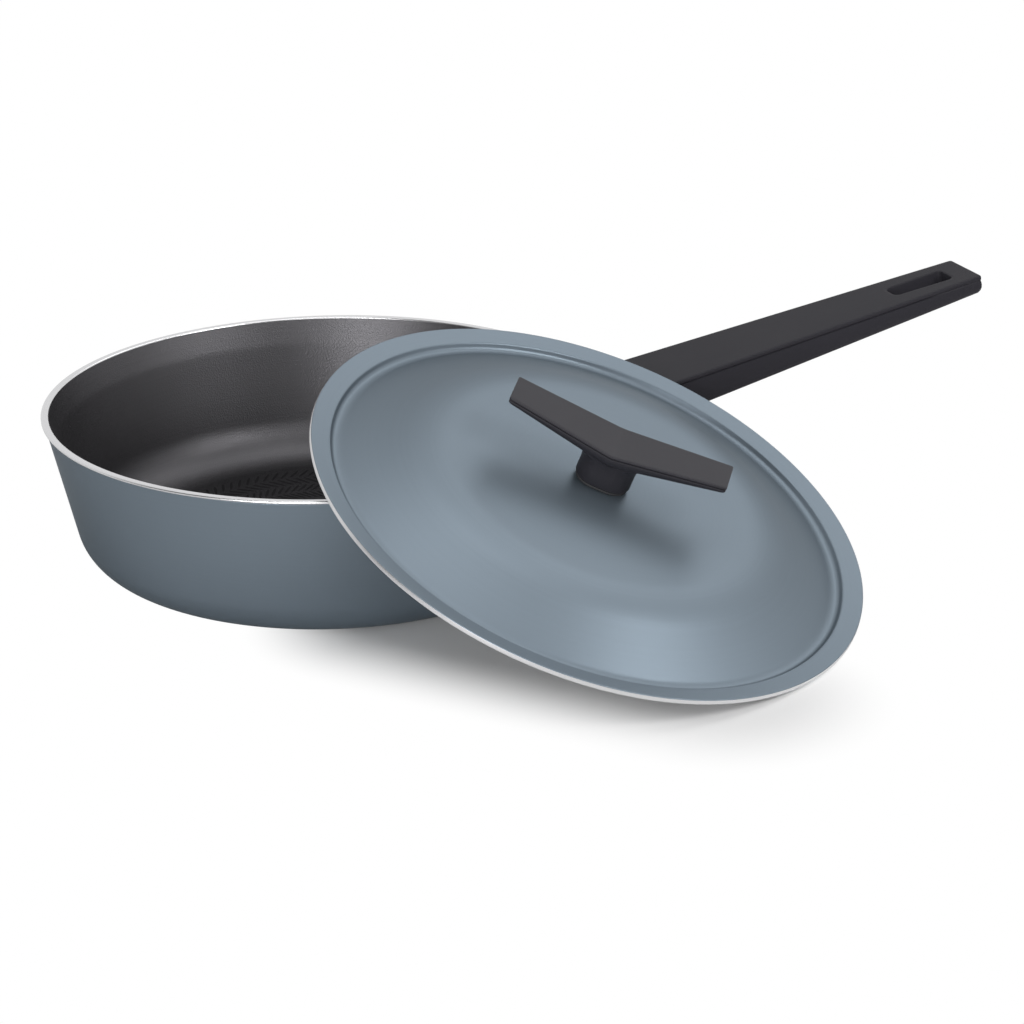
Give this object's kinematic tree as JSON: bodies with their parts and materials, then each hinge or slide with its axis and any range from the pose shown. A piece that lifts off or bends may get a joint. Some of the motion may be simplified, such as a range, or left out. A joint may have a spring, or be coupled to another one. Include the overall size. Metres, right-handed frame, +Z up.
{
  "type": "frying pan with lid",
  "caption": "Deep round frying pan with tapered wall, bare metal rim and long flat handle with a hanging slot, with its domed lid and winged knob leaning on the rim.",
  "frame": {"origin": "middle of the pan's flat base, on the surface that it stands on", "axes": "+X along the handle, away from the pan; +Z up along the pan's axis; the lid leans on the -Y side"},
  "size_m": [0.4298, 0.346, 0.1004],
  "materials": {
    "slate_paint": "satin slate paint outside, dark non-stick inside the pan, bare cut edge on the rim",
    "bare_aluminium": "as pressed",
    "black_phenolic": "matte moulded",
    "steel": "satin",
    "brass": "turned",
    "silicone": "matte"
  },
  "bodies": {
    "pan": {"pan_shell": "slate_paint", "handle_stud": "bare_aluminium", "flame_guard": "steel", "handle_grip": "black_phenolic", "handle_washer": "steel", "handle_screw": "steel"},
    "lid": {"lid_shell": "slate_paint", "lid_knob": "black_phenolic", "knob_gasket": "silicone", "knob_insert": "brass", "knob_washer": "steel", "knob_screw": "steel"}
  },
  "joints": [
    {"name": "lid_lift", "type": "slide", "parent": "pan", "child": "lid", "axis": [0, 0, 1], "range_m": [0, 0.12]}
  ]
}
